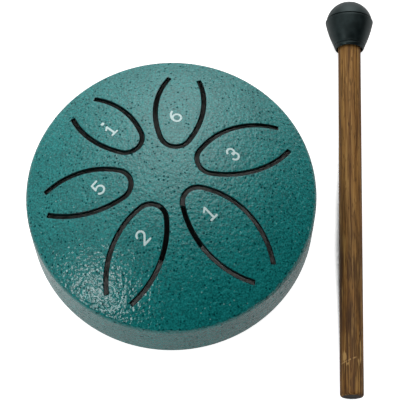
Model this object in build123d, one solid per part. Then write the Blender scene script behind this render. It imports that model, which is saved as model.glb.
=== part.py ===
from build123d import *
from collections import namedtuple
from math import atan2, cos, degrees, radians, sin, sqrt
import os

# Steel tongue drum with its mallet. Millimetres, +Z up.
# The drum stands on z = 0 with its axis on Z. The mallet lies beside it, along +Y.

# Drum body
DRUM_RADIUS = 40.0
SHEET = 1.2
GROUND_GAP = 2.0
BOWL_RISE = 17.3
WALL_HEIGHT = 17.2
DOME_RISE = 12.6
SHOULDER_ROUND = 2.0
LAP_HEIGHT = 4.0
LAP_CLEARANCE = 0.05
SOUND_HOLE_RADIUS = 8.9

# Tongues: each outline is a nose arc between two flank arcs, and the slot follows it to its root.
# The nose is a distance from the drum axis. Width and neck lie between the slots' centre lines, at the
# widest place and at the root, and the margin runs from the slots' ends to the drum's wall.
# The lowest note sits opposite its octave, with a lower pair beside it and an upper pair by the octave.
SLOT_WIDTH = 1.2
NOSE_RADIUS = 4.3
LOWEST_NOTE_AZIMUTH = 317.2
LOWER_PAIR_TURN = 69.1
UPPER_PAIR_TURN = 52.0
Tongue = namedtuple("Tongue", "turn nose width neck margin")
TONGUES = {
    "note_1": Tongue(turn=0, nose=6.3, width=15.6, neck=7.3, margin=4.8),
    "note_2": Tongue(turn=-LOWER_PAIR_TURN, nose=8.9, width=13.6, neck=7.1, margin=5.2),
    "note_3": Tongue(turn=LOWER_PAIR_TURN, nose=8.3, width=13.8, neck=7.3, margin=5.6),
    "note_5": Tongue(turn=180 + UPPER_PAIR_TURN, nose=10.6, width=12.1, neck=6.4, margin=5.7),
    "note_6": Tongue(turn=180 - UPPER_PAIR_TURN, nose=8.8, width=13.1, neck=8.2, margin=7.2),
    "octave": Tongue(turn=180, nose=12.4, width=12.2, neck=8.4, margin=5.7),
}

# Feet
FOOT_COUNT = 3
FOOT_RADIUS = 4.5
FOOT_HOLE_MARGIN = 6.6
FOOT_ROUND = 0.8
TAPE_THICKNESS = 0.3
TAPE_INSET = 0.5

# Mallet, measured along its own axis from the tail of the stick
MALLET_GAP = 8.42
MALLET_TAIL_Y = -47.83
STICK_RADIUS = 3.4
STICK_LENGTH = 117.65
STICK_EDGE = 0.3
HEAD_RADIUS = 7.24
HEAD_CROWN_HEIGHT = 6.23
HEAD_CROWN_STEP = 0.25
HEAD_SKIRT_HEIGHT = 9.28
HEAD_SKIRT_SAG = 0.25
HEAD_NECK_HEIGHT = 1.1
HEAD_NECK_STEP = 0.15
HEAD_MOUTH_FLARE = 0.45
HEAD_MOUTH_DEPTH = 1.2
HEAD_RIM_LAND = 0.35
HEAD_SEAT = 10.13
GLUE_GAP = 0.05

# Heights and radii that follow from the sizes above
LIP_RADIUS = DRUM_RADIUS - SHEET - LAP_CLEARANCE
JOGGLE = DRUM_RADIUS - LIP_RADIUS
BOWL_WALL = (WALL_HEIGHT - JOGGLE) / 2
BOWL_SHOULDER = GROUND_GAP + BOWL_RISE
SEAM_LOW = BOWL_SHOULDER + BOWL_WALL
SEAM_HIGH = SEAM_LOW + JOGGLE
LIP_TOP = SEAM_HIGH + LAP_HEIGHT
DOME_SHOULDER = BOWL_SHOULDER + WALL_HEIGHT
CROWN_HEIGHT = DOME_SHOULDER + DOME_RISE
FOOT_CIRCLE_RADIUS = SOUND_HOLE_RADIUS + FOOT_HOLE_MARGIN + FOOT_RADIUS
MALLET_X = DRUM_RADIUS + MALLET_GAP + STICK_RADIUS


def turned(face):
    """Revolve a profile drawn on the XZ plane about the Z axis."""
    return revolve(face, Axis.Z)


def cap_arc(radius, base, top):
    """Arc of a spherical cap, from its edge at a radius to its top on the axis."""
    rise = top - base
    sphere = (radius**2 + rise**2) / (2 * rise)
    half = atan2(radius, sphere - rise) / 2
    middle = (sphere * sin(half), top - sphere + sphere * cos(half))
    return ThreePointArc((radius, base), middle, (0, top))


def cap_sphere(rise):
    """Radius of the sphere whose cap covers the drum with a given rise."""
    return (DRUM_RADIUS**2 + rise**2) / (2 * rise)


def bell(rise, wall_height, inset):
    """Solid bell with its shoulder at z = 0, whose surface lies a given distance inside the skin."""
    wall = DRUM_RADIUS - inset
    bottom = -wall_height - inset
    crown = rise - inset
    sphere = cap_sphere(rise)
    shoulder = rise - sphere + sqrt((sphere - inset) ** 2 - wall**2)
    outline = Polyline((0, crown), (0, bottom), (wall, bottom), (wall, shoulder))
    outline += cap_arc(wall, shoulder, crown)
    face = make_face(outline)
    corner = face.vertices().sort_by_distance((wall, shoulder))[0]
    face = fillet(corner, SHOULDER_ROUND - inset if inset < SHOULDER_ROUND else SHOULDER_ROUND / 2)
    return turned(Plane.XZ * face)


def bell_shell(rise, wall_height):
    """Drawn bell of sheet steel, open at the end of its wall."""
    return bell(rise, wall_height, 0) - bell(rise, wall_height, SHEET)


def arc_points(centre, radius, start, end):
    """Start, middle and end of an arc between two polar angles in degrees."""
    angles = (start, (start + end) / 2, end)
    return [(centre[0] + radius * cos(radians(a)), centre[1] + radius * sin(radians(a))) for a in angles]


def slot_face(tongue):
    """Open slot round one tongue that lies along +X, with square ends at its root."""
    half = tongue.width / 2
    neck = tongue.neck / 2
    root = sqrt((DRUM_RADIUS - tongue.margin) ** 2 - neck**2)
    nose_centre = (tongue.nose + NOSE_RADIUS, 0)
    # A flank arc touches the nose arc, swells to half the width and ends at half the neck:
    # these three conditions give its radius and the run from the nose centre to the widest place
    length = root - nose_centre[0]
    swell = half - NOSE_RADIUS
    waist = half - neck
    reach = length**2 + waist**2 - waist * (half + NOSE_RADIUS)
    run = reach / (length + sqrt(length**2 + (waist / swell - 1) * reach))
    flank_radius = (run**2 / swell + half + NOSE_RADIUS) / 2
    flank_centre = (nose_centre[0] + run, half - flank_radius)
    meet = degrees(atan2(flank_radius - half, -run))
    end = degrees(atan2(neck - flank_centre[1], root - flank_centre[0]))
    edges = []
    tips = []
    for offset in (SLOT_WIDTH / 2, -SLOT_WIDTH / 2):
        flank = arc_points(flank_centre, flank_radius + offset, end, meet)
        mirrored = [(x, -y) for x, y in flank]
        edges.append(ThreePointArc(*flank))
        edges.append(ThreePointArc(*arc_points(nose_centre, NOSE_RADIUS + offset, meet, 360 - meet)))
        edges.append(ThreePointArc(*mirrored))
        tips.append((flank[0], mirrored[0]))
    for outer, inner in zip(*tips):
        edges.append(Line(outer, inner))
    return make_face(edges)


def upper_shell():
    """Drawn steel bell with the tongues cut free in its dome."""
    shell = Pos(0, 0, DOME_SHOULDER) * bell_shell(DOME_RISE, DOME_SHOULDER - SEAM_HIGH)
    for tongue in TONGUES.values():
        slot = Rot(0, 0, LOWEST_NOTE_AZIMUTH + tongue.turn) * slot_face(tongue)
        shell -= extrude(Pos(0, 0, SEAM_HIGH) * slot, CROWN_HEIGHT)
    return shell


def lower_shell():
    """Drawn steel bowl with a joggled lip that nests in the skirt, and the sound hole in its bottom."""
    bowl = Pos(0, 0, BOWL_SHOULDER) * Rot(180, 0, 0) * bell_shell(BOWL_RISE, BOWL_WALL)
    lip = Polyline(
        (DRUM_RADIUS, SEAM_LOW),
        (LIP_RADIUS, SEAM_HIGH),
        (LIP_RADIUS, LIP_TOP),
        (LIP_RADIUS - SHEET, LIP_TOP),
        (LIP_RADIUS - SHEET, SEAM_HIGH),
        (DRUM_RADIUS - SHEET, SEAM_LOW),
        close=True,
    )
    hole = extrude(Circle(SOUND_HOLE_RADIUS), BOWL_SHOULDER)
    return bowl + turned(Plane.XZ * make_face(lip)) - hole


def seam_weld():
    """Weld bead in the groove between the skirt's edge and the bowl's joggle, dressed flush."""
    groove = Polyline((DRUM_RADIUS, SEAM_LOW), (DRUM_RADIUS, SEAM_HIGH), (LIP_RADIUS, SEAM_HIGH), close=True)
    return turned(Plane.XZ * make_face(groove))


def foot_places():
    """Foot centres on their circle, one of them under the lowest note's tongue."""
    turns = [LOWEST_NOTE_AZIMUTH + 360 * n / FOOT_COUNT for n in range(FOOT_COUNT)]
    return [Rot(0, 0, turn) * Pos(FOOT_CIRCLE_RADIUS, 0, 0) for turn in turns]


def under_bowl(gap):
    """Ball whose surface lies a given distance below the bowl's cap."""
    sphere = cap_sphere(BOWL_RISE)
    return Pos(0, 0, GROUND_GAP + sphere) * Sphere(sphere + gap)


def foot(place):
    """Rubber foot with a rounded lower edge, its top cut to the bowl's curve."""
    pad = extrude(Circle(FOOT_RADIUS), BOWL_SHOULDER)
    pad = fillet(pad.edges().sort_by(Axis.Z)[0], FOOT_ROUND)
    return place * pad - under_bowl(TAPE_THICKNESS)


def foot_tape(place):
    """Adhesive disc between a foot and the bowl."""
    disc = extrude(Circle(FOOT_RADIUS - TAPE_INSET), BOWL_SHOULDER)
    return (place * disc & under_bowl(TAPE_THICKNESS)) - under_bowl(0)


def mallet_stick():
    """Wooden dowel along +Z, with its tail at the origin and eased edges."""
    dowel = extrude(Circle(STICK_RADIUS), STICK_LENGTH)
    return chamfer(dowel.edges().filter_by(GeomType.CIRCLE), STICK_EDGE)


def mallet_head():
    """Rubber knob along +Z: tapered skirt with a neck band, parting edge, crown and blind bore."""
    rim = STICK_LENGTH - HEAD_SEAT
    neck = rim + HEAD_NECK_HEIGHT
    edge = rim + HEAD_SKIRT_HEIGHT
    top = edge + HEAD_CROWN_HEIGHT
    crown_radius = HEAD_RADIUS - HEAD_CROWN_STEP
    bore = STICK_RADIUS + GLUE_GAP
    mouth = bore + HEAD_MOUTH_FLARE
    rim_radius = mouth + HEAD_RIM_LAND
    taper = (HEAD_RADIUS - rim_radius) / HEAD_SKIRT_HEIGHT
    neck_radius = rim_radius + taper * HEAD_NECK_HEIGHT
    skirt_middle = (neck + edge) / 2
    outline = Polyline(
        (0, top),
        (0, STICK_LENGTH),
        (bore, STICK_LENGTH),
        (bore, rim + HEAD_MOUTH_DEPTH),
        (mouth, rim),
        (rim_radius, rim),
        (neck_radius, neck),
        (neck_radius + HEAD_NECK_STEP, neck),
    )
    skirt_foot = neck_radius + HEAD_NECK_STEP
    skirt_bulge = (skirt_foot + HEAD_RADIUS) / 2 + HEAD_SKIRT_SAG
    outline += ThreePointArc((skirt_foot, neck), (skirt_bulge, skirt_middle), (HEAD_RADIUS, edge))
    outline += Line((HEAD_RADIUS, edge), (crown_radius, edge))
    outline += cap_arc(crown_radius, edge, top)
    return turned(Plane.XZ * make_face(outline))


def mallet_place():
    """Lay the mallet along +Y so that its head and the tail of its stick both touch the table."""
    edge_run = STICK_LENGTH - HEAD_SEAT + HEAD_SKIRT_HEIGHT
    tilt = degrees(atan2(HEAD_RADIUS - STICK_RADIUS, edge_run))
    tail_height = STICK_RADIUS * cos(radians(tilt))
    return Pos(MALLET_X, MALLET_TAIL_Y, tail_height) * Rot(-90 + tilt, 0, 0)


def build():
    """Every node of the drum and its mallet, by name."""
    nodes = {"upper_shell": upper_shell(), "lower_shell": lower_shell(), "seam_weld": seam_weld()}
    for number, place in enumerate(foot_places(), start=1):
        nodes[f"foot_{number}"] = foot(place)
        nodes[f"foot_tape_{number}"] = foot_tape(place)
    lay = mallet_place()
    nodes["mallet_stick"] = lay * mallet_stick()
    nodes["mallet_head"] = lay * mallet_head()
    return nodes


os.makedirs("parts", exist_ok=True)
for name, solid in build().items():
    export_step(solid, f"parts/{name}.step")
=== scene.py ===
# Steel tongue drum with its mallet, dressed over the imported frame. Sizes are in millimetres.
from collections import namedtuple
from math import asin, atan2, cos, pi, radians, sin, sqrt

import bmesh
import bpy
from mathutils import Matrix, Vector, noise
from mathutils.geometry import delaunay_2d_cdt
from mathutils.kdtree import KDTree


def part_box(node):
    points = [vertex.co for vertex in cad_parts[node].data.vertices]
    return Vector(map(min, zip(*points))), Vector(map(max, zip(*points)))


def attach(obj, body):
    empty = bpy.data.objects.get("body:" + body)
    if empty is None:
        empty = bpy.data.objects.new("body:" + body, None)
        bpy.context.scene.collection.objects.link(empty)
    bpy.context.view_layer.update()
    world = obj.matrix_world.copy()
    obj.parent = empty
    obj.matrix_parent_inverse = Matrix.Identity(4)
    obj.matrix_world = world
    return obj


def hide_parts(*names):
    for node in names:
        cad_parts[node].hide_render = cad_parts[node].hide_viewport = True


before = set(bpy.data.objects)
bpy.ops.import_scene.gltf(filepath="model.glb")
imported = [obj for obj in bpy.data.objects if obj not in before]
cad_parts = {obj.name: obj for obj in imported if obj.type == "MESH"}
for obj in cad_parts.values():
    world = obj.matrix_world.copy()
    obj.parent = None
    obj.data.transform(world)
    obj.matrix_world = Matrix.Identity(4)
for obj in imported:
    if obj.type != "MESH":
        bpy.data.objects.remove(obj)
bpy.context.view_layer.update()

MM = 0.001


def size_box(node):
    """Lowest and highest corner of a CAD node, in millimetres."""
    return [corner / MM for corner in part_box(node)]


# Drum sizes that the frame gives
shell_low, shell_high = size_box("upper_shell")
DRUM_RADIUS = (shell_high.x - shell_low.x) / 2
CROWN = shell_high.z
SEAM_HIGH = shell_low.z
SEAM_LOW = size_box("seam_weld")[0].z
LIP_TOP = size_box("lower_shell")[1].z

# Drum sizes that repeat the CAD source
DOME_RISE = 12.6
BOWL_RISE = 17.3
WALL_HEIGHT = 17.2
SHEET = 1.2
SHOULDER_ROUND = 2.0
LAP_CLEARANCE = 0.05
SOUND_HOLE_RADIUS = 8.9
TAPE_THICKNESS = 0.3
FOOT_ROUND = 0.8
SLOT_WIDTH = 1.2
NOSE_RADIUS = 4.3
LOWEST_NOTE_AZIMUTH = 317.2
LOWER_PAIR_TURN = 69.1
UPPER_PAIR_TURN = 52.0
Tongue = namedtuple("Tongue", "turn nose width neck margin")
TONGUES = {
    "note_1": Tongue(turn=0, nose=6.3, width=15.6, neck=7.3, margin=4.8),
    "note_2": Tongue(turn=-LOWER_PAIR_TURN, nose=8.9, width=13.6, neck=7.1, margin=5.2),
    "note_3": Tongue(turn=LOWER_PAIR_TURN, nose=8.3, width=13.8, neck=7.3, margin=5.6),
    "note_5": Tongue(turn=180 + UPPER_PAIR_TURN, nose=10.6, width=12.1, neck=6.4, margin=5.7),
    "note_6": Tongue(turn=180 - UPPER_PAIR_TURN, nose=8.8, width=13.1, neck=8.2, margin=7.2),
    "octave": Tongue(turn=180, nose=12.4, width=12.2, neck=8.4, margin=5.7),
}
DOME_SPHERE = (DRUM_RADIUS**2 + DOME_RISE**2) / (2 * DOME_RISE)
DOME_CENTRE = CROWN - DOME_SPHERE
BOWL_SPHERE = (DRUM_RADIUS**2 + BOWL_RISE**2) / (2 * BOWL_RISE)
BOWL_CENTRE = CROWN - DOME_RISE - WALL_HEIGHT - BOWL_RISE + BOWL_SPHERE
LIP_RADIUS = DRUM_RADIUS - SHEET - LAP_CLEARANCE

# Fineness of the drum's mesh
RIM_STEPS = 288
FILLET_STEPS = 10
FLANK_STEPS = 56
NOSE_STEPS = 30
CORNER_STEPS = 4
EDGE_STEPS = 4
WALL_STEPS = 8
BOWL_STEPS = 40
HOLE_EDGE_STEPS = 5
WELD_STEPS = 6
FOOT_STEPS = 72
FOOT_ROUND_STEPS = 8
SKIN_SPACING = 0.9

# Small forms of the drum that only the looks have
SLOT_EDGE_ROUND = 0.22
SLOT_CORNER_ROUND = 0.16
HOLE_EDGE_ROUND = 0.4
WELD_PROUD = 0.03
WELD_UNEVEN = 0.02
WELD_WAVES = 6
# Rings of a foot: shares of its radius below and on top, and heights up its wall
FOOT_UNDER_SHARES = (0.35, 0.7)
FOOT_TOP_SHARES = (0.97, 0.7, 0.4)
FOOT_WALL_HEIGHTS = (1.6, 2.4, 3.2)
FEET = (1, 2, 3)

# Material numbers of the dome's sheet, and of the stick
PAINTED, CUT, BARE = 0, 1, 2
ALONG_GRAIN, END_GRAIN = 0, 1

# Mallet sizes that the frame gives, and those that repeat the CAD source
stick_low, stick_high = size_box("mallet_stick")
head_low, head_high = size_box("mallet_head")
MALLET_X = (stick_low.x + stick_high.x) / 2
STICK_RADIUS = (stick_high.x - stick_low.x) / 2
HEAD_RADIUS = (head_high.x - head_low.x) / 2
MALLET_TAIL_Y = -47.83
STICK_LENGTH = 117.65
STICK_EDGE = 0.3
HEAD_CROWN_HEIGHT = 6.23
HEAD_CROWN_STEP = 0.25
HEAD_SKIRT_HEIGHT = 9.28
HEAD_SKIRT_SAG = 0.25
HEAD_NECK_HEIGHT = 1.1
HEAD_NECK_STEP = 0.15
HEAD_MOUTH_FLARE = 0.45
HEAD_MOUTH_DEPTH = 1.2
HEAD_RIM_LAND = 0.35
HEAD_SEAT = 10.13
GLUE_GAP = 0.05

# Fineness of the mallet's mesh, and small forms that only the looks have
HEAD_STEPS = 160
CROWN_STEPS = 36
SKIRT_STEPS = 20
RIDGE_STEPS = 8
BEND_STEPS = 5
STICK_STEPS = 120
STICK_ROWS = 150
STICK_EASE = 0.8
STICK_EASE_STEPS = 6
GROOVE_DEPTH = 0.45
GROOVE_ANGLE = 4.0
FIBRE_DEPTH = 0.03
TAIL_RAGGED = 0.09
TAIL_FACE_HEIGHT = 0.02
# Scar near the stick's tail: its height on the axis and its rise to one side
SCAR_HEIGHT = 10.4
SCAR_SLANT = 0.42
# Pale chips near the stick's tail: place on the stick, squeeze along it and reach
WOOD_CHIPS = [
    ((-2.3, -2.5, 11.4), 0.45, 0.6),
    ((-1.5, -3.0, 9.0), 0.9, 0.35),
    ((2.3, -2.5, 12.5), 0.1, 0.35),
    ((1.8, -2.9, 9.6), 0.5, 0.4),
]

# Printed note numbers: place from the drum's axis, all upright towards one side
NUMERAL_HEIGHT = 4.1
NUMERAL_STROKE = 0.56
NUMERAL_UP = 137.2
NUMERAL_GRID = 0.09
OCTAVE_SHRINK = 0.88
PRINT_THICKNESS = 0.04
NUMERALS = {
    "numeral_1": ("1", 14.5, 317.4),
    "numeral_2": ("2", 18.2, 247.7),
    "numeral_3": ("3", 18.4, 24.7),
    "numeral_5": ("5", 19.5, 188.4),
    "numeral_6": ("6", 18.55, 87.8),
    "numeral_octave": ("octave", 22.2, 139.1),
}

# Camera at the photograph's viewing angle
CAMERA_TARGET = (7.97, -2.07, 36.9)
CAMERA_DISTANCE = 450.0
CAMERA_AZIMUTH = 2.13
CAMERA_ELEVATION = 68.67
CAMERA_ROLL = -0.83
CAMERA_LENS = 147.79
CAMERA_SENSOR = 36
CAMERA_NEAR = 0.01

# Light and floor
SOFTBOX_AIM = (0, 0, 30)
# Glows of the studio: direction, tightness and brightness of each
STUDIO_GLOWS = [
    ((0, 0.98, 0.2), 12.0, 1.0),
    ((0, 0.8, 0.6), 20.0, 1.15),
    ((0, 0.8, 0.6), 6.0, 0.36),
    ((0, 0.45, 0.9), 20.0, 1.3),
    ((-0.85, 0.2, 0.5), 10.0, 0.35),
    ((-0.43, 0.2, 0.86), 16.0, 0.25),
]
FLOOR_REACH = 3
FLOOR_GLOW = 0.92
FLOOR_GLOSSY_SHARE = 0.12
SHADE_REACH = 0.1
SHADE_SAMPLES = 32

# Colours, as linear red, green and blue
TEAL_DEEP = (0.006, 0.205, 0.2)
TEAL_CLEAR = (0.009, 0.245, 0.238)
TEAL_GRAIN_DARK = (0.002, 0.1, 0.1)
TEAL_GRAIN_PALE = (0.025, 0.42, 0.41)
SPECK_DARK = (0.0, 0.055, 0.06)
SPECK_PALE = (0.35, 0.65, 0.63)
OXIDE_DARK = (0.001, 0.014, 0.016)
OXIDE_TEAL = (0.006, 0.04, 0.042)
OXIDE_GREY = (0.03, 0.05, 0.05)
STEEL_DULL = (0.46, 0.47, 0.465)
STEEL_PALE_AND_SLOT_LIGHT = (0.9, 0.9, 0.89)
RUST = (0.6, 0.53, 0.48)
HEAD_BLACK = (0.003, 0.007, 0.0075)
HEAD_SHEEN = (0.78, 1.0, 1.0)
FOOT_BLACK = (0.012, 0.012, 0.012)
FOOT_SHEEN = (1.0, 1.0, 1.0)
WOOD_BROWN = (0.19, 0.078, 0.016)
WOOD_GOLD = (0.43, 0.21, 0.052)
WOOD_DARK_TAIL = (0.05, 0.024, 0.011)
WOOD_FIBRE_DARK = (0.07, 0.027, 0.007)
WOOD_FIBRE_PALE = (0.6, 0.335, 0.1)
WOOD_PORE = (0.06, 0.024, 0.007)
WOOD_CHIP = (0.62, 0.37, 0.13)
WOOD_SCAR = (0.62, 0.37, 0.14)
END_DARK = (0.02, 0.016, 0.012)
END_PALE = (0.05, 0.042, 0.034)
END_PORE = (0.008, 0.006, 0.005)
TAPE_DEEP = (0.5, 0.47, 0.4)
TAPE_PALE = (0.68, 0.66, 0.58)
INK_FULL = (0.66, 0.86, 0.85)
INK_THIN = (0.28, 0.56, 0.55)
FLOOR_SHADE = (0.02, 0.02, 0.02)
FLOOR_PALE = (0.8, 0.8, 0.8)


def dome_height(x, y, inset=0.0):
    """Height of the dome's skin over a plan point, or of a skin that lies deeper."""
    return DOME_CENTRE + sqrt((DOME_SPHERE - inset) ** 2 - x * x - y * y)


def bowl_height(x, y, gap=0.0):
    """Height of the bowl's outer skin over a plan point, or of a surface a gap below it."""
    return BOWL_CENTRE - sqrt((BOWL_SPHERE + gap) ** 2 - x * x - y * y)


def make_piece(name, verts, faces, materials, face_materials=None, sharp=40):
    """Mesh object from points in millimetres, shaded smooth with creases above an angle."""
    mesh = bpy.data.meshes.new(name)
    mesh.from_pydata([Vector(v) * MM for v in verts], [], faces)
    for material in materials:
        mesh.materials.append(material)
    if face_materials:
        mesh.polygons.foreach_set("material_index", face_materials)
    work = bmesh.new()
    work.from_mesh(mesh)
    bmesh.ops.recalc_face_normals(work, faces=work.faces)
    work.to_mesh(mesh)
    work.free()
    mesh.shade_smooth()
    mesh.set_sharp_from_angle(angle=radians(sharp))
    piece = bpy.data.objects.new(name, mesh)
    bpy.context.scene.collection.objects.link(piece)
    return piece


def turned(profile, steps, closed=False):
    """Points and faces of a profile (radius, height) turned about Z, with poles on the axis."""
    verts = []
    rings = []
    for radius, height in profile:
        if radius < 1e-9:
            rings.append([len(verts)] * steps)
            verts.append((0.0, 0.0, height))
            continue
        rings.append(list(range(len(verts), len(verts) + steps)))
        for k in range(steps):
            angle = 2 * pi * k / steps
            verts.append((radius * cos(angle), radius * sin(angle), height))
    faces = []
    pairs = list(zip(rings, rings[1:]))
    if closed:
        pairs.append((rings[-1], rings[0]))
    for low, high in pairs:
        for k in range(steps):
            after = (k + 1) % steps
            corners = [low[k], low[after], high[after], high[k]]
            faces.append(list(dict.fromkeys(corners)))
    return verts, faces


def arc(centre, radius, start, end, steps):
    """Points of an arc between two angles in degrees, both ends included."""
    angles = [radians(start + (end - start) * k / steps) for k in range(steps + 1)]
    return [(centre[0] + radius * cos(a), centre[1] + radius * sin(a)) for a in angles]


def line(start, end, steps):
    """Points of a straight line, without its start."""
    shares = [k / steps for k in range(1, steps + 1)]
    return [(start[0] + (end[0] - start[0]) * s, start[1] + (end[1] - start[1]) * s) for s in shares]


def bend(start, corner, end, steps):
    """Points of a soft bend round a corner, both ends included."""
    points = []
    for k in range(steps + 1):
        t = k / steps
        shares = list(zip(((1 - t) ** 2, 2 * t * (1 - t), t * t), (start, corner, end)))
        points.append(tuple(sum(share * point[axis] for share, point in shares) for axis in (0, 1)))
    return points


def slot_loop(tongue):
    """Closed outline of a slot whose tongue lies along +X, as points with normals into the steel."""
    half = tongue.width / 2
    neck = tongue.neck / 2
    root = sqrt((DRUM_RADIUS - tongue.margin) ** 2 - neck**2)
    nose_x = tongue.nose + NOSE_RADIUS
    # A flank arc touches the nose arc, swells to half the width and ends at half the neck
    length = root - nose_x
    swell = half - NOSE_RADIUS
    waist = half - neck
    reach = length**2 + waist**2 - waist * (half + NOSE_RADIUS)
    run = reach / (length + sqrt(length**2 + (waist / swell - 1) * reach))
    flank = (run**2 / swell + half + NOSE_RADIUS) / 2
    flank_centre = Vector((nose_x + run, half - flank))
    meet = atan2(flank - half, -run)
    end = atan2(neck - flank_centre.y, root - flank_centre.x)
    start = end + SLOT_CORNER_ROUND / flank
    mirror = Vector((1, -1))
    middle = []
    for k in range(FLANK_STEPS):
        angle = start + (meet - start) * k / FLANK_STEPS
        middle.append((flank_centre, flank, Vector((cos(angle), sin(angle)))))
    for k in range(NOSE_STEPS):
        angle = meet + 2 * (pi - meet) * k / NOSE_STEPS
        middle.append((Vector((nose_x, 0)), NOSE_RADIUS, Vector((cos(angle), sin(angle)))))
    for k in range(FLANK_STEPS + 1):
        angle = meet + (start - meet) * k / FLANK_STEPS
        middle.append((flank_centre * mirror, flank, Vector((cos(angle), sin(angle))) * mirror))
    wide = SLOT_WIDTH / 2
    outer = [(centre + (radius + wide) * way, way) for centre, radius, way in middle]
    inner = [(centre + (radius - wide) * way, -way) for centre, radius, way in reversed(middle)]

    def cap(out, ahead, centre):
        """Square end with two rounded corners, from the side that out points to."""
        points = []
        for side in (1, -1):
            corner = centre + side * (wide - SLOT_CORNER_ROUND) * out - SLOT_CORNER_ROUND * ahead
            for k in range(1, CORNER_STEPS + 1):
                turn = pi / 2 * (k if side > 0 else k - 1) / CORNER_STEPS
                if side > 0:
                    way = out * cos(turn) + ahead * sin(turn)
                else:
                    way = ahead * cos(turn) - out * sin(turn)
                points.append((corner + SLOT_CORNER_ROUND * way, way))
        return points

    out = Vector((cos(end), sin(end)))
    ahead = Vector((sin(end), -cos(end)))
    tip = flank_centre + flank * out
    return outer + cap(out * mirror, ahead * mirror, tip * mirror) + inner + cap(-out, ahead, tip)


def placed_loop(tongue):
    """A slot's outline and normals, turned to the tongue's place on the drum."""
    turn = Matrix.Rotation(radians(LOWEST_NOTE_AZIMUTH + tongue.turn), 2)
    return [(turn @ point, turn @ normal) for point, normal in slot_loop(tongue)]


def inside(point, polygon):
    """Whether a plan point lies inside a closed polygon."""
    x, y = point
    found = False
    for (x1, y1), (x2, y2) in zip(polygon, polygon[1:] + polygon[:1]):
        if (y1 > y) != (y2 > y) and x < x1 + (y - y1) * (x2 - x1) / (y2 - y1):
            found = not found
    return found


def rim_profile():
    """Profile from the dome's edge over the shoulder and down the skirt, then up its inside."""
    fillet_radius = DRUM_RADIUS - SHOULDER_ROUND
    fillet_height = DOME_CENTRE + sqrt((DOME_SPHERE - SHOULDER_ROUND) ** 2 - fillet_radius**2)
    centre = (fillet_radius, fillet_height)
    steep = atan2(fillet_height - DOME_CENTRE, fillet_radius) * 180 / pi
    outside = arc(centre, SHOULDER_ROUND, steep, 0, FILLET_STEPS)
    inside_wall = arc(centre, SHOULDER_ROUND - SHEET, 0, steep, FILLET_STEPS)
    outer_wall = line(outside[-1], (DRUM_RADIUS, SEAM_HIGH), WALL_STEPS)
    inner_wall = [(DRUM_RADIUS - SHEET, z) for radius, z in reversed(outer_wall)]
    return outside + outer_wall + inner_wall + inside_wall


def skin_points(loops, limit):
    """Plan points of an even triangular grid that keep clear of the slots and the rim."""
    marks = [point for loop in loops for point, normal in loop]
    tree = KDTree(len(marks))
    for number, point in enumerate(marks):
        tree.insert((point.x, point.y, 0), number)
    tree.balance()
    row_step = SKIN_SPACING * sqrt(3) / 2
    rows = int(limit / row_step)
    columns = int(limit / SKIN_SPACING) + 1
    polygons = [[point for point, normal in loop] for loop in loops]
    points = []
    for row in range(-rows, rows + 1):
        for column in range(-columns, columns + 1):
            point = Vector(((column + 0.5 * (row % 2)) * SKIN_SPACING, row * row_step))
            near = tree.find((point.x, point.y, 0))[2]
            if point.length > limit or near < 0.5 * SKIN_SPACING + SLOT_EDGE_ROUND:
                continue
            if near > SLOT_WIDTH or not any(inside(point, polygon) for polygon in polygons):
                points.append(point)
    return points


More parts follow.
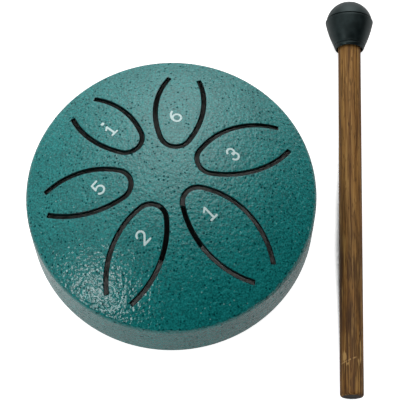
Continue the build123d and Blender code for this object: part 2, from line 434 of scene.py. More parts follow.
def drum_top(materials):
    """Dome with its slots, shoulder and skirt as one closed sheet of steel."""
    loops = [placed_loop(tongue) for tongue in TONGUES.values()]
    rim = rim_profile()
    edge_radius = rim[0][0]
    under_radius = rim[-1][0]
    angles = [2 * pi * k / RIM_STEPS for k in range(RIM_STEPS)]
    plan = [Vector((edge_radius * cos(a), edge_radius * sin(a))) for a in angles]
    under = [Vector((under_radius * cos(a), under_radius * sin(a))) for a in angles]
    edges = [(k, (k + 1) % RIM_STEPS) for k in range(RIM_STEPS)]
    ranges = []
    for loop in loops:
        first = len(plan)
        ranges.append(range(first, first + len(loop)))
        plan += [point + SLOT_EDGE_ROUND * normal for point, normal in loop]
        under += [point for point, normal in loop]
        edges += [(first + k, first + (k + 1) % len(loop)) for k in range(len(loop))]
    grid = skin_points(loops, under_radius - 0.6 * SKIN_SPACING)
    plan += grid
    under += grid
    made = delaunay_2d_cdt(plan, edges, [], 0, 1e-5)
    source = [found[0] for found in made[3]]
    triangles = [tuple(source[v] for v in face) for face in made[2]]
    polygons = [[plan[k] for k in numbers] for numbers in ranges]

    def is_slot(face):
        """Whether a triangle lies in the opening of a slot."""
        for numbers, polygon in zip(ranges, polygons):
            if all(v in numbers for v in face):
                return inside(sum((plan[v] for v in face), Vector((0, 0))) / 3, polygon)
        return False

    triangles = [face for face in triangles if not is_slot(face)]
    verts = [(p.x, p.y, dome_height(p.x, p.y)) for p in plan]
    below = len(verts)
    verts += [(p.x, p.y, dome_height(p.x, p.y, SHEET)) for p in under]
    faces = [list(face) for face in triangles]
    skins = [PAINTED] * len(faces)
    faces += [[below + v for v in reversed(face)] for face in triangles]
    skins += [BARE] * len(triangles)
    # Rounded upper edge and cut wall of each slot
    for loop, numbers in zip(loops, ranges):
        count = len(loop)
        rings = [list(numbers)]
        for k in range(1, EDGE_STEPS + 1):
            turn = pi / 2 * k / EDGE_STEPS
            offset = SLOT_EDGE_ROUND * (1 - sin(turn))
            drop = SLOT_EDGE_ROUND * (1 - cos(turn))
            rings.append(list(range(len(verts), len(verts) + count)))
            for point, normal in loop:
                spot = point + offset * normal
                verts.append((spot.x, spot.y, dome_height(spot.x, spot.y) - drop))
        rings.append([below + v for v in numbers])
        for level, (high, low) in enumerate(zip(rings, rings[1:])):
            for k in range(count):
                after = (k + 1) % count
                faces.append([high[k], high[after], low[after], low[k]])
                skins.append(CUT if level else PAINTED)
    # Shoulder, skirt and the inside of the wall
    ring = list(range(RIM_STEPS))
    for number, (radius, height) in enumerate(rim[1:], start=1):
        if number == len(rim) - 1:
            following = [below + k for k in range(RIM_STEPS)]
        else:
            following = list(range(len(verts), len(verts) + RIM_STEPS))
            verts += [(radius * cos(a), radius * sin(a), height) for a in angles]
        for k in range(RIM_STEPS):
            after = (k + 1) % RIM_STEPS
            faces.append([ring[k], ring[after], following[after], following[k]])
            skins.append(PAINTED if number <= len(rim) // 2 else BARE)
        ring = following
    return make_piece("drum_top", verts, faces, materials, skins)


def drum_bowl(materials):
    """Bowl with its cap, shoulder, wall and joggled lip, and a softly edged sound hole."""
    fillet_radius = DRUM_RADIUS - SHOULDER_ROUND
    fillet_height = BOWL_CENTRE - sqrt((BOWL_SPHERE - SHOULDER_ROUND) ** 2 - fillet_radius**2)
    centre = (fillet_radius, fillet_height)
    steep = atan2(fillet_height - BOWL_CENTRE, fillet_radius) * 180 / pi
    middle = (0, BOWL_CENTRE)

    def cap_angle(radius, sphere):
        """Angle of a sphere's point at a radius, seen from the sphere's centre."""
        return asin(radius / sphere) * 180 / pi - 90

    hole = SOUND_HOLE_RADIUS
    edge = hole + HOLE_EDGE_ROUND
    inner_sphere = BOWL_SPHERE - SHEET
    outer = arc(middle, BOWL_SPHERE, cap_angle(edge, BOWL_SPHERE), steep, BOWL_STEPS)
    outer += arc(centre, SHOULDER_ROUND, steep, 0, FILLET_STEPS)[1:]
    outer += line(outer[-1], (DRUM_RADIUS, SEAM_LOW), WALL_STEPS)
    lip = [(LIP_RADIUS, SEAM_HIGH), (LIP_RADIUS, LIP_TOP)]
    lip += [(LIP_RADIUS - SHEET, LIP_TOP), (LIP_RADIUS - SHEET, SEAM_HIGH)]
    inner = [(DRUM_RADIUS - SHEET, SEAM_LOW)]
    inner += line(inner[0], (DRUM_RADIUS - SHEET, fillet_height), WALL_STEPS)
    inner += arc(centre, SHOULDER_ROUND - SHEET, 0, steep, FILLET_STEPS)[1:]
    inner += arc(middle, inner_sphere, steep, cap_angle(edge, inner_sphere), BOWL_STEPS)[1:]
    low = BOWL_CENTRE - sqrt(BOWL_SPHERE**2 - hole**2)
    high = BOWL_CENTRE - sqrt(inner_sphere**2 - hole**2)
    rim = bend(inner[-1], (hole, high), (hole, high - HOLE_EDGE_ROUND), HOLE_EDGE_STEPS)[1:]
    rim += bend((hole, low + HOLE_EDGE_ROUND), (hole, low), outer[0], HOLE_EDGE_STEPS)[:-1]
    verts, faces = turned(outer + lip + inner + rim, RIM_STEPS, closed=True)
    # The bowl has two materials: painted outside and at the hole, bare on the lip and inside
    painted, bare_inside = 0, 1
    skins = [painted] * len(outer) + [bare_inside] * (len(lip) + len(inner)) + [painted] * len(rim)
    skins = [skin for skin in skins for k in range(RIM_STEPS)]
    return make_piece("drum_bowl", verts, faces, materials, skins)


def weld_bead(materials):
    """Dressed weld in the groove of the seam, a hair proud and slightly uneven."""
    verts = []
    faces = []
    for k in range(RIM_STEPS):
        angle = 2 * pi * k / RIM_STEPS
        wave = noise.noise((WELD_WAVES * cos(angle), WELD_WAVES * sin(angle), 0))
        proud = WELD_PROUD + WELD_UNEVEN * wave
        section = [(LIP_RADIUS, SEAM_HIGH)]
        for n in range(WELD_STEPS + 1):
            share = n / WELD_STEPS
            height = SEAM_LOW + (SEAM_HIGH - SEAM_LOW) * share
            section.append((DRUM_RADIUS + proud * sin(pi * share), height))
        verts += [(radius * cos(angle), radius * sin(angle), height) for radius, height in section]
    count = WELD_STEPS + 2
    for k in range(RIM_STEPS):
        here, there = k * count, (k + 1) % RIM_STEPS * count
        for n in range(count):
            after = (n + 1) % count
            faces.append([here + n, here + after, there + after, there + n])
    return make_piece("weld_bead", verts, faces, materials)


def foot_pad(node, materials):
    """Moulded rubber foot with a rounded lower edge and a top that follows the bowl."""
    low, high = size_box(node)
    x, y = (low.x + high.x) / 2, (low.y + high.y) / 2
    radius = (high.x - low.x) / 2
    steps = FOOT_STEPS
    # Rings with no height of their own lie on top
    rings = [(radius * share, 0) for share in FOOT_UNDER_SHARES]
    rings += arc((radius - FOOT_ROUND, FOOT_ROUND), FOOT_ROUND, -90, 0, FOOT_ROUND_STEPS)
    rings += [(radius, height) for height in FOOT_WALL_HEIGHTS]
    rings += [(radius * share, None) for share in (1, *FOOT_TOP_SHARES)]
    verts = [(x, y, 0)]
    for ring, height in rings:
        for k in range(steps):
            angle = 2 * pi * k / steps
            px, py = x + ring * cos(angle), y + ring * sin(angle)
            top = bowl_height(px, py, TAPE_THICKNESS)
            verts.append((px, py, top if height is None else min(height, top)))
    verts.append((x, y, bowl_height(x, y, TAPE_THICKNESS)))
    faces = []
    for k in range(steps):
        after = (k + 1) % steps
        faces.append([0, 1 + after, 1 + k])
        for n in range(len(rings) - 1):
            here, there = 1 + n * steps, 1 + (n + 1) * steps
            faces.append([here + k, here + after, there + after, there + k])
        last = 1 + (len(rings) - 1) * steps
        faces.append([last + k, last + after, len(verts) - 1])
    return make_piece(node + "_pad", verts, faces, materials)


def mallet_lay():
    """Where the mallet lies: its head and the tail of its stick both touch the table."""
    edge_run = STICK_LENGTH - HEAD_SEAT + HEAD_SKIRT_HEIGHT
    tilt = atan2(HEAD_RADIUS - STICK_RADIUS, edge_run)
    place = Vector((MALLET_X, MALLET_TAIL_Y, STICK_RADIUS * cos(tilt))) * MM
    return Matrix.Translation(place) @ Matrix.Rotation(tilt - pi / 2, 4, "X")


def mallet_knob(materials):
    """Moulded rubber head: crown, parting groove, tapered skirt, neck band and flared mouth."""
    rim = STICK_LENGTH - HEAD_SEAT
    neck = rim + HEAD_NECK_HEIGHT
    edge = rim + HEAD_SKIRT_HEIGHT
    top = edge + HEAD_CROWN_HEIGHT
    crown = HEAD_RADIUS - HEAD_CROWN_STEP
    bore = STICK_RADIUS + GLUE_GAP
    mouth = bore + HEAD_MOUTH_FLARE
    rim_radius = mouth + HEAD_RIM_LAND
    taper = (HEAD_RADIUS - rim_radius) / HEAD_SKIRT_HEIGHT
    neck_radius = rim_radius + taper * HEAD_NECK_HEIGHT
    skirt_foot = neck_radius + HEAD_NECK_STEP
    sphere = (crown**2 + HEAD_CROWN_HEIGHT**2) / (2 * HEAD_CROWN_HEIGHT)
    low_angle = atan2(edge - (top - sphere), crown) * 180 / pi
    outline = arc((0, top - sphere), sphere, 90, low_angle + GROOVE_ANGLE, CROWN_STEPS)
    outline[0] = (0, top)
    # Parting groove under the crown
    groove = crown - GROOVE_DEPTH
    outline += bend(outline[-1], (crown, edge + 0.3), (groove, edge + 0.25), BEND_STEPS)[1:]
    # Rounded ridge at the top of the skirt, then the skirt with its slight swell
    ridge_corner = (HEAD_RADIUS - 0.04, edge + 0.02)
    ridge_end = (HEAD_RADIUS, edge - 0.22)
    swell = ((skirt_foot + HEAD_RADIUS) / 2 + 2 * HEAD_SKIRT_SAG, (neck + edge) / 2)
    skirt_end = (skirt_foot + 0.05, neck + 0.45)
    outline += bend((groove, edge - 0.1), ridge_corner, ridge_end, RIDGE_STEPS)
    outline += bend(ridge_end, swell, skirt_end, SKIRT_STEPS)[1:]
    # Step at the skirt's foot, then the neck band with its rounded edges
    step_end = (neck_radius - 0.12, neck)
    band_start = (neck_radius - 0.12, neck - 0.05)
    band_end = (neck_radius - 0.1, neck - 0.5)
    outline += bend(skirt_end, (skirt_foot, neck), step_end, BEND_STEPS)[1:]
    outline += bend(band_start, (neck_radius, neck - 0.1), band_end, BEND_STEPS)
    outline += line(band_end, (rim_radius + 0.12, rim + 0.35), BEND_STEPS)
    outline += bend(outline[-1], (rim_radius, rim), (rim_radius - 0.25, rim), BEND_STEPS)[1:]
    # Flared mouth and bore
    outline += bend((mouth + 0.1, rim), (mouth, rim), (mouth - 0.05, rim + 0.2), 3)
    outline += [(bore, rim + HEAD_MOUTH_DEPTH), (bore, STICK_LENGTH), (0, STICK_LENGTH)]
    verts, faces = turned(outline, HEAD_STEPS)
    piece = make_piece("mallet_knob", verts, faces, materials, sharp=50)
    piece.matrix_world = mallet_lay()
    return piece


def mallet_dowel(materials):
    """Wooden stick with eased ends, faint grooves along its fibres and a ragged tail edge."""
    verts = []
    rings = []
    ease = STICK_EASE
    tail = arc((STICK_RADIUS - ease, ease), ease, -80, 0, STICK_EASE_STEPS)
    rows = tail + line((STICK_RADIUS, ease), (STICK_RADIUS, STICK_LENGTH - STICK_EDGE), STICK_ROWS)
    rows += [(STICK_RADIUS - STICK_EDGE, STICK_LENGTH)]
    for radius, height in rows:
        rings.append(list(range(len(verts), len(verts) + STICK_STEPS)))
        for k in range(STICK_STEPS):
            angle = 2 * pi * k / STICK_STEPS
            x, y = cos(angle), sin(angle)
            coarse = noise.noise((9 * x, 9 * y, height / 26))
            fine = noise.noise((17 * x, 17 * y, height / 9))
            dip = FIBRE_DEPTH * max(0, coarse + 0.6 * fine - 0.2)
            lift = 0
            if height < ease:
                ragged = TAIL_RAGGED * max(0, noise.noise((11 * x, 11 * y, 3.0)))
                lift = ragged * (1 - height / ease)
            verts.append(((radius - dip) * x, (radius - dip) * y, height + lift))
    faces = []
    grains = []
    for low, high in zip(rings, rings[1:]):
        for k in range(STICK_STEPS):
            after = (k + 1) % STICK_STEPS
            faces.append([low[k], low[after], high[after], high[k]])
            grains.append(ALONG_GRAIN)
    # End faces, in rings
    for ring, height in ((rings[0], TAIL_FACE_HEIGHT), (rings[-1], STICK_LENGTH)):
        last = ring
        for share in (0.66, 0.33):
            following = list(range(len(verts), len(verts) + STICK_STEPS))
            for k in range(STICK_STEPS):
                angle = 2 * pi * k / STICK_STEPS
                radius = STICK_RADIUS * share
                verts.append((radius * cos(angle), radius * sin(angle), height))
            for k in range(STICK_STEPS):
                after = (k + 1) % STICK_STEPS
                faces.append([last[k], last[after], following[after], following[k]])
                grains.append(END_GRAIN)
            last = following
        verts.append((0, 0, height))
        for k in range(STICK_STEPS):
            faces.append([last[k], last[(k + 1) % STICK_STEPS], len(verts) - 1])
            grains.append(END_GRAIN)
    piece = make_piece("mallet_dowel", verts, faces, materials, grains, sharp=50)
    piece.matrix_world = mallet_lay()
    return piece


def glyph_strokes(glyph):
    """Centre lines of a numeral in a box one unit high, as lists of points."""
    flag = [(0.08, 0.77), (0.31, 0.935)]
    stem = [(0.31, 0.935), (0.31, 0.065)]
    foot = [(0.06, 0.065), (0.56, 0.065)]
    one = [flag, stem, foot]
    if glyph == "1":
        return one
    if glyph == "octave":
        # A smaller 1 with a dot above it
        size = OCTAVE_SHRINK
        small = [[(0.31 + size * (x - 0.31), 0.5 + size * (y - 0.5)) for x, y in stroke] for stroke in one]
        return small + [arc((0.31, 1.31), 0.06, 0, 360, 10)]
    if glyph == "2":
        hook = arc((0.29, 0.67), 0.265, 168, -42, 24)
        return [hook + [(0.05, 0.065), (0.58, 0.065)]]
    if glyph == "3":
        upper = arc((0.28, 0.7), 0.24, 162, -90, 22)
        lower = arc((0.28, 0.3), 0.255, 90, -162, 22)
        return [upper, lower]
    if glyph == "5":
        bowl = arc((0.28, 0.33), 0.28, 138, -150, 26)
        return [[(0.53, 0.935), (0.11, 0.935), bowl[0]], bowl]
    tail = arc((0.6, 0.36), 0.59, 106, 182, 18)
    return [arc((0.3, 0.33), 0.285, 0, 360, 32), tail]


def segment_distance(point, start, end):
    """Distance of a plan point from a straight segment."""
    along = end - start
    length = along.length_squared
    share = min(1, max(0, (point - start).dot(along) / length)) if length else 0
    return (point - start - share * along).length


def printed_numeral(name, glyph, radius, azimuth, materials):
    """Thin printed numeral that lies on the dome, cut from a fine grid along its outline."""
    middle = Vector((0.3, 0.5))
    lines = [[(Vector(p) - middle) * NUMERAL_HEIGHT for p in stroke] for stroke in glyph_strokes(glyph)]
    pairs = [pair for stroke in lines for pair in zip(stroke, stroke[1:])]
    reach_x = 0.5 * NUMERAL_HEIGHT
    reach_y = 0.9 * NUMERAL_HEIGHT
    columns = round(reach_x / NUMERAL_GRID)
    rows = round(reach_y / NUMERAL_GRID)
    value = {}
    for i in range(-columns, columns + 1):
        for j in range(-rows, rows + 1):
            point = Vector((i, j)) * NUMERAL_GRID
            value[i, j] = min(segment_distance(point, *pair) for pair in pairs) - NUMERAL_STROKE / 2
    points = []
    known = {}

    def vertex(a, b=None):
        """Number of a grid point inside the outline, or of the crossing between two of them."""
        key = (a, b) if b is None else (min(a, b), max(a, b))
        if key not in known:
            known[key] = len(points)
            spot = Vector(key[0]) * NUMERAL_GRID
            if b is not None:
                low, high = value[key[0]], value[key[1]]
                spot = spot.lerp(Vector(key[1]) * NUMERAL_GRID, low / (low - high))
            points.append(spot)
        return known[key]

    polygons = []
    for i in range(-columns, columns):
        for j in range(-rows, rows):
            a, b, c, d = (i, j), (i + 1, j), (i + 1, j + 1), (i, j + 1)
            for corners in ((a, b, c), (a, c, d)):
                polygon = []
                for here, there in zip(corners, corners[1:] + corners[:1]):
                    if value[here] < 0:
                        polygon.append(vertex(here))
                    if (value[here] < 0) != (value[there] < 0):
                        polygon.append(vertex(here, there))
                if polygon:
                    polygons.append(polygon)
    angle = radians(azimuth)
    centre = Vector((radius * cos(angle), radius * sin(angle)))
    up = Vector((cos(radians(NUMERAL_UP)), sin(radians(NUMERAL_UP))))
    right = Vector((up.y, -up.x))
    spots = [centre + p.x * right + p.y * up for p in points]
    verts = [(s.x, s.y, dome_height(s.x, s.y) + PRINT_THICKNESS) for s in spots]
    verts += [(s.x, s.y, dome_height(s.x, s.y) - PRINT_THICKNESS) for s in spots]
    below = len(spots)
    faces = polygons + [[below + v for v in reversed(polygon)] for polygon in polygons]
    used = {(a, b) for polygon in polygons for a, b in zip(polygon, polygon[1:] + polygon[:1])}
    faces += [[b, a, below + a, below + b] for a, b in used if (b, a) not in used]
    return make_piece(name, verts, faces, materials)


def shader(name, **sockets):
    """New material with a Principled shader whose sockets have the given values."""
    material = bpy.data.materials.new(name)
    material.use_nodes = True
    principled = material.node_tree.nodes["Principled BSDF"]
    for key, value in sockets.items():
        principled.inputs[key.replace("_", " ").title().replace("Ior", "IOR")].default_value = value
    return material, material.node_tree, principled


def add(tree, kind, inputs=None, **settings):
    """New node with its settings, and with values or links on its inputs."""
    made = tree.nodes.new(kind)
    for key, value in settings.items():
        setattr(made, key, value)
    for key, value in (inputs or {}).items():
        if isinstance(value, bpy.types.NodeSocket):
            tree.links.new(value, made.inputs[key])
        else:
            made.inputs[key].default_value = value
    return made


def millimetres(tree, scale=(1, 1, 1)):
    """Object coordinates in millimetres, stretched by a scale."""
    place = add(tree, "ShaderNodeTexCoord").outputs["Object"]
    factors = [s / MM for s in scale]
    return add(tree, "ShaderNodeVectorMath", {0: place, 1: factors}, operation="MULTIPLY").outputs[0]


def noise_at(tree, place, scale, detail=2.0, rough=0.5):
    """Noise value between 0 and 1 with a scale per millimetre."""
    inputs = {"Vector": place, "Scale": scale, "Detail": detail, "Roughness": rough}
    return add(tree, "ShaderNodeTexNoise", inputs).outputs["Fac"]


def ramp(tree, value, low, high, to_low=0.0, to_high=1.0):
    """Value mapped smoothly from one range to another and held at its ends."""
    inputs = {"Value": value, "From Min": low, "From Max": high, "To Min": to_low, "To Max": to_high}
    return add(tree, "ShaderNodeMapRange", inputs, interpolation_type="SMOOTHSTEP").outputs[0]


def calc(tree, operation, first, second):
    """Result of a math node."""
    return add(tree, "ShaderNodeMath", {0: first, 1: second}, operation=operation).outputs[0]


def mixed(tree, share, first, second):
    """Colour between two colours or colour sockets."""
    made = add(tree, "ShaderNodeMix", data_type="RGBA")
    for socket, value in ((made.inputs[0], share), (made.inputs[6], first), (made.inputs[7], second)):
        if isinstance(value, bpy.types.NodeSocket):
            tree.links.new(value, socket)
        else:
            socket.default_value = (*value, 1) if isinstance(value, tuple) else value
    return made.outputs[2]


def bump(tree, height, distance):
    """Normal from a height between 0 and 1, for a relief of the given millimetres."""
    inputs = {"Height": height, "Distance": distance * MM, "Strength": 1.0}
    return add(tree, "ShaderNodeBump", inputs).outputs[0]


def speck_mask(tree, place, scale, share, size):
    """Round specks in a share of the cells of a Voronoi pattern."""
    cells = add(tree, "ShaderNodeTexVoronoi", {"Vector": place, "Scale": scale, "Randomness": 1.0})
    pick = add(tree, "ShaderNodeSeparateColor", {0: cells.outputs["Color"]})
    chosen = calc(tree, "LESS_THAN", pick.outputs[0], share)
    reach = ramp(tree, pick.outputs[1], 0.0, 1.0, 0.55 * size, size)
    near = calc(tree, "DIVIDE", cells.outputs["Distance"], reach)
    return calc(tree, "MULTIPLY", chosen, ramp(tree, near, 0.7, 1.1, 1.0, 0.0))


def paint_material():
    """Teal powder coat: cloudy grainy tone, dark and pale specks and an orange-peel gloss."""
    material, tree, principled = shader("drum_paint", roughness=0.22, ior=1.6)
    place = millimetres(tree)
    cloud = noise_at(tree, place, 0.16, detail=3.0)
    tone = mixed(tree, ramp(tree, cloud, 0.3, 0.7), TEAL_DEEP, TEAL_CLEAR)
    grain = noise_at(tree, place, 2.1, detail=1.0, rough=0.5)
    tone = mixed(tree, ramp(tree, grain, 0.5, 0.66, 0.0, 0.7), tone, TEAL_GRAIN_DARK)
    tone = mixed(tree, ramp(tree, grain, 0.46, 0.34, 0.0, 0.4), tone, TEAL_GRAIN_PALE)
    dark = speck_mask(tree, place, scale=0.92, share=0.68, size=0.31)
    tone = mixed(tree, calc(tree, "MULTIPLY", dark, 0.95), tone, SPECK_DARK)
    pale = speck_mask(tree, place, scale=0.8, share=0.3, size=0.19)
    tone = mixed(tree, calc(tree, "MULTIPLY", pale, 0.45), tone, SPECK_PALE)
    peel = noise_at(tree, place, 0.95, detail=1.0, rough=0.5)
    grit = noise_at(tree, place, 2.6, detail=1.0)
    relief = calc(tree, "ADD", peel, calc(tree, "MULTIPLY", grit, 0.2))
    tree.links.new(tone, principled.inputs["Base Color"])
    tree.links.new(ramp(tree, dark, 0.0, 1.0, 0.5, 0.0), principled.inputs["Specular IOR Level"])
    tree.links.new(ramp(tree, grain, 0.3, 0.7, 0.14, 0.2), principled.inputs["Roughness"])
    tree.links.new(bump(tree, relief, 0.25), principled.inputs["Normal"])
    return material


def cut_material():
    """Slot wall: dark oxide under thin teal overspray."""
    material, tree, principled = shader("slot_cut", roughness=0.6, ior=1.3)
    place = millimetres(tree)
    patch = noise_at(tree, place, 0.35, detail=2.0)
    grain = noise_at(tree, place, 2.5, detail=2.0)
    tone = mixed(tree, ramp(tree, patch, 0.45, 0.65), OXIDE_DARK, OXIDE_TEAL)
    tone = mixed(tree, ramp(tree, grain, 0.5, 0.8, 0.0, 0.4), tone, OXIDE_GREY)
    tree.links.new(tone, principled.inputs["Base Color"])
    tree.links.new(bump(tree, grain, 0.03), principled.inputs["Normal"])
    return material


def bare_material():
    """Unpainted inside of the sheet: clouded steel with a little rust, its pale clouds partly painted light
    that falls in through the slots.
    """
    material, tree, principled = shader("bare_steel", roughness=0.55, ior=1.5)
    place = millimetres(tree)
    cloud = noise_at(tree, place, 0.12, detail=4.0)
    # Pale clouds: partly the steel's own tone, partly painted light falling in through the slots
    tone = mixed(tree, ramp(tree, cloud, 0.38, 0.55), STEEL_DULL, STEEL_PALE_AND_SLOT_LIGHT)
    rust = noise_at(tree, place, 0.6, detail=3.0)
    tone = mixed(tree, ramp(tree, rust, 0.58, 0.75, 0.0, 0.5), tone, RUST)
    tree.links.new(tone, principled.inputs["Base Color"])
    tree.links.new(bump(tree, rust, 0.02), principled.inputs["Normal"])
    return material


def rubber_material(name, tone, roughness, sheen):
    """Moulded black rubber with a fine grain, a dusty bloom and a tinted sheen."""
    material, tree, principled = shader(name, roughness=roughness, ior=1.52, specular_tint=(*sheen, 1))
    place = millimetres(tree)
    bloom = noise_at(tree, place, 0.45, detail=4.0, rough=0.6)
    grain = noise_at(tree, place, 6.0, detail=2.0)
    pale = tuple(2.2 * c + 0.006 for c in tone)
    tree.links.new(mixed(tree, ramp(tree, bloom, 0.4, 0.75), tone, pale), principled.inputs["Base Color"])
    rough = ramp(tree, bloom, 0.3, 0.75, roughness - 0.06, roughness + 0.1)
    tree.links.new(rough, principled.inputs["Roughness"])
    relief = calc(tree, "ADD", bloom, calc(tree, "MULTIPLY", grain, 0.25))
    tree.links.new(bump(tree, relief, 0.04), principled.inputs["Normal"])
    return material


def wood_material():
    """Brown-stained open-grained wood along the stick's own axis, darker, worn and chipped towards the
    tail, with painted light on its upper part.
    """
    material, tree, principled = shader("stick_wood", roughness=0.6, ior=1.35)
    place = millimetres(tree)
    streak = noise_at(tree, millimetres(tree, (1, 1, 0.02)), 0.8, detail=3.0, rough=0.6)
    fine = noise_at(tree, millimetres(tree, (1, 1, 0.03)), 2.4, detail=2.0, rough=0.6)
    pore = noise_at(tree, millimetres(tree, (1, 1, 0.14)), 2.6, detail=1.0, rough=0.5)
    tone = mixed(tree, ramp(tree, streak, 0.36, 0.64), WOOD_BROWN, WOOD_GOLD)
    across, down, height = add(tree, "ShaderNodeSeparateXYZ", {0: place}).outputs
    patch = noise_at(tree, millimetres(tree, (1, 1, 0.2)), 0.45, detail=3.0, rough=0.6)
    # Darker towards the tail, fading out upwards and thinner again right at the tail; the lighter upper
    # part is painted light against the drum's shadow
    tail_dark = calc(tree, "MULTIPLY", ramp(tree, height, 66.0, 34.0), ramp(tree, height, 8.0, 24.0, 0.85, 1.0))
    tail_dark = calc(tree, "MULTIPLY", tail_dark, ramp(tree, patch, 0.36, 0.6, 0.2, 0.75))
    tone = mixed(tree, tail_dark, tone, WOOD_DARK_TAIL)
    tone = mixed(tree, ramp(tree, fine, 0.52, 0.66, 0.0, 0.75), tone, WOOD_FIBRE_DARK)
    tone = mixed(tree, ramp(tree, fine, 0.46, 0.34, 0.0, 0.6), tone, WOOD_FIBRE_PALE)
    tone = mixed(tree, ramp(tree, pore, 0.58, 0.7, 0.0, 0.6), tone, WOOD_PORE)
    # Chips where the pale wood shows
    for spot, squeeze, reach in WOOD_CHIPS:
        near = add(tree, "ShaderNodeVectorMath", {0: place, 1: spot}, operation="SUBTRACT").outputs[0]
        factors = (1, 1, squeeze)
        near = add(tree, "ShaderNodeVectorMath", {0: near, 1: factors}, operation="MULTIPLY").outputs[0]
        away = add(tree, "ShaderNodeVectorMath", {0: near}, operation="LENGTH").outputs["Value"]
        away = calc(tree, "ADD", away, calc(tree, "MULTIPLY", pore, 2.4))
        tone = mixed(tree, ramp(tree, away, reach + 1.3, reach + 1.0, 0.0, 0.75), tone, WOOD_CHIP)
    # Scar that runs slantwise over the top
    slant = calc(tree, "SUBTRACT", height, calc(tree, "MULTIPLY", across, SCAR_SLANT))
    scar = calc(tree, "ABSOLUTE", calc(tree, "SUBTRACT", slant, SCAR_HEIGHT), 0.0)
    scar = calc(tree, "MULTIPLY", ramp(tree, scar, 0.3, 0.1, 0.0, 0.7), ramp(tree, down, -1.2, -2.2))
    scar = calc(tree, "MULTIPLY", scar, ramp(tree, across, 1.8, 0.6))
    tone = mixed(tree, calc(tree, "MULTIPLY", scar, ramp(tree, pore, 0.7, 0.4)), tone, WOOD_SCAR)
    tree.links.new(tone, principled.inputs["Base Color"])
    relief = calc(tree, "ADD", calc(tree, "MULTIPLY", streak, 0.4), fine)
    tree.links.new(bump(tree, relief, 0.09), principled.inputs["Normal"])
    return material


def end_grain_material():
    """Sawn end of the stick: dark stain with pores and faint rings."""
    material, tree, principled = shader("stick_end", roughness=0.7, ior=1.45)
    place = millimetres(tree)
    rings = noise_at(tree, millimetres(tree, (1, 0.25, 1)), 2.0, detail=2.0)
    pores = speck_mask(tree, place, scale=3.5, share=0.6, size=0.35)
    tone = mixed(tree, rings, END_DARK, END_PALE)
    tone = mixed(tree, pores, tone, END_PORE)
    tree.links.new(tone, principled.inputs["Base Color"])
    tree.links.new(bump(tree, rings, 0.06), principled.inputs["Normal"])
    return material


def tape_material():
    """Yellowed adhesive film."""
    material, tree, principled = shader("foot_tape", roughness=0.5, ior=1.45)
    cloud = noise_at(tree, millimetres(tree), 0.8, detail=3.0)
    tree.links.new(mixed(tree, cloud, TAPE_DEEP, TAPE_PALE), principled.inputs["Base Color"])
    tree.links.new(bump(tree, cloud, 0.03), principled.inputs["Normal"])
    return material


def print_material():
    """White pad print, a little thin in places so that the teal shows."""
    material, tree, principled = shader("white_print", roughness=0.45, ior=1.5)
    place = millimetres(tree)
    thin = noise_at(tree, place, 2.2, detail=3.0, rough=0.65)
    tone = mixed(tree, ramp(tree, thin, 0.54, 0.8), INK_FULL, INK_THIN)
    tree.links.new(tone, principled.inputs["Base Color"])
    tree.links.new(bump(tree, thin, 0.03), principled.inputs["Normal"])
    return material


paint = paint_material()
cut = cut_material()
bare = bare_material()
head_rubber = rubber_material("head_rubber", HEAD_BLACK, 0.4, HEAD_SHEEN)
foot_rubber = rubber_material("foot_rubber", FOOT_BLACK, 0.6, FOOT_SHEEN)
tape = tape_material()
ink = print_material()

dressed = [
    (drum_top([paint, cut, bare]), "drum", "upper_shell", "drum_paint"),
    (drum_bowl([paint, bare]), "drum", "lower_shell", "drum_paint"),
    (weld_bead([paint]), "drum", "seam_weld", "drum_paint"),
    (mallet_knob([head_rubber]), "mallet", "mallet_head", "head_rubber"),
    (mallet_dowel([wood_material(), end_grain_material()]), "mallet", "mallet_stick", "stick_wood"),
]
for number in FEET:
    dressed.append((foot_pad(f"foot_{number}", [foot_rubber]), "drum", f"foot_{number}", "foot_rubber"))
for piece, body, node, slot in dressed:
    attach(piece, body)
    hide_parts(node)
for name, (glyph, radius, azimuth) in NUMERALS.items():
    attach(printed_numeral(name, glyph, radius, azimuth, [ink]), "drum")
for number in FEET:
    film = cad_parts[f"foot_tape_{number}"]
    film.data.materials.clear()
    film.data.materials.append(tape)

# Camera
azimuth = radians(CAMERA_AZIMUTH)
elevation = radians(CAMERA_ELEVATION)
back = Vector((sin(azimuth) * cos(elevation), -cos(azimuth) * cos(elevation), sin(elevation)))
level = Vector((cos(azimuth), sin(azimuth), 0))
upright = back.cross(level)
roll = radians(CAMERA_ROLL)
right = level * cos(roll) + upright * sin(roll)
up = upright * cos(roll) - level * sin(roll)
camera_data = bpy.data.cameras.new("photo_camera")
camera_data.sensor_width = CAMERA_SENSOR
camera_data.lens = CAMERA_LENS
camera_data.clip_start = CAMERA_NEAR
camera = bpy.data.objects.new("photo_camera", camera_data)
turn = Matrix((right, up, back)).transposed().to_4x4()
camera.matrix_world = Matrix.Translation((Vector(CAMERA_TARGET) + CAMERA_DISTANCE * back) * MM) @ turn
bpy.context.scene.collection.objects.link(camera)
bpy.context.scene.camera = camera


def softbox(name, direction, distance, width, height, radiance):
    """Rectangular lamp that faces the drum from a direction, with its brightness as a radiance."""
    lamp = bpy.data.lights.new(name, "AREA")
    lamp.shape = "RECTANGLE"
    lamp.size = width * MM
    lamp.size_y = height * MM
    lamp.energy = radiance * pi * lamp.size * lamp.size_y
    holder = bpy.data.objects.new(name, lamp)
    way = Vector(direction).normalized()
    place = Matrix.Translation((way * distance + Vector(SOFTBOX_AIM)) * MM)
    holder.matrix_world = place @ way.to_track_quat("Z", "Y").to_matrix().to_4x4()
    holder.visible_camera = False
    bpy.context.scene.collection.objects.link(holder)


softbox(
    "front_left_softbox",
    direction=(-0.575, -0.535, 0.62),
    distance=700,
    width=220,
    height=200,
    radiance=7.4,
)

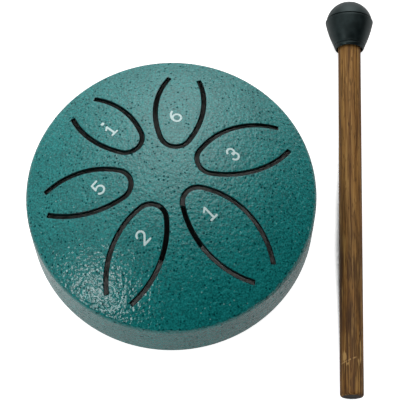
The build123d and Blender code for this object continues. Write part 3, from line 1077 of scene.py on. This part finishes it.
# Studio world: broad glows behind, above and to the left, and white where the camera sees it
world = bpy.data.worlds.new("studio")
bpy.context.scene.world = world
world.use_nodes = True
tree = world.node_tree
view_way = add(tree, "ShaderNodeTexCoord").outputs["Generated"]
glow = 0.0
for direction, tightness, brightness in STUDIO_GLOWS:
    towards = Vector(direction).normalized()
    facing = add(tree, "ShaderNodeVectorMath", {0: view_way, 1: towards}, operation="DOT_PRODUCT")
    share = calc(tree, "MULTIPLY", calc(tree, "ADD", facing.outputs["Value"], 1.0), 0.5)
    lobe = calc(tree, "POWER", share, tightness)
    glow = calc(tree, "ADD", calc(tree, "MULTIPLY", lobe, brightness), glow)
is_camera = add(tree, "ShaderNodeLightPath").outputs["Is Camera Ray"]
strength = add(tree, "ShaderNodeMix", {0: is_camera, 2: glow, 3: 1.0}, data_type="FLOAT").outputs[0]
background = tree.nodes["Background"]
background.inputs["Color"].default_value = (1, 1, 1, 1)
tree.links.new(strength, background.inputs["Strength"])

# Pale floor, white to the camera but for a soft shade close to the object that is painted into its colour
# and glow, and open from below
floor_mesh = bpy.data.meshes.new("floor")
corners = [(x * FLOOR_REACH, y * FLOOR_REACH, 0) for x, y in ((-1, -1), (1, -1), (1, 1), (-1, 1))]
floor_mesh.from_pydata(corners, [], [(0, 1, 2, 3)])
floor = bpy.data.objects.new("floor", floor_mesh)
bpy.context.scene.collection.objects.link(floor)
floor_material, tree, principled = shader("pale_floor", roughness=0.9)
near = add(tree, "ShaderNodeAmbientOcclusion", {"Distance": SHADE_REACH}, samples=SHADE_SAMPLES)
rays = add(tree, "ShaderNodeLightPath").outputs
seen = calc(tree, "MAXIMUM", rays["Is Camera Ray"], rays["Is Transmission Ray"])
seen = calc(tree, "MAXIMUM", seen, calc(tree, "MULTIPLY", rays["Is Glossy Ray"], FLOOR_GLOSSY_SHARE))
# Painted shade: ambient occlusion darkens the floor's colour and dims its glow close to the object
lit = ramp(tree, near.outputs["AO"], 0.25, 0.34)
shine = calc(tree, "MULTIPLY", seen, calc(tree, "MULTIPLY", lit, FLOOR_GLOW))
tree.links.new(mixed(tree, lit, FLOOR_SHADE, FLOOR_PALE), principled.inputs["Base Color"])
principled.inputs["Emission Color"].default_value = (1, 1, 1, 1)
tree.links.new(shine, principled.inputs["Emission Strength"])
under = add(tree, "ShaderNodeNewGeometry").outputs["Backfacing"]
clear = add(tree, "ShaderNodeBsdfTransparent").outputs[0]
surface = add(tree, "ShaderNodeMixShader", {0: under, 1: principled.outputs[0], 2: clear}).outputs[0]
tree.links.new(surface, tree.nodes["Material Output"].inputs["Surface"])
floor_mesh.materials.append(floor_material)

bpy.context.scene.view_settings.view_transform = "Standard"
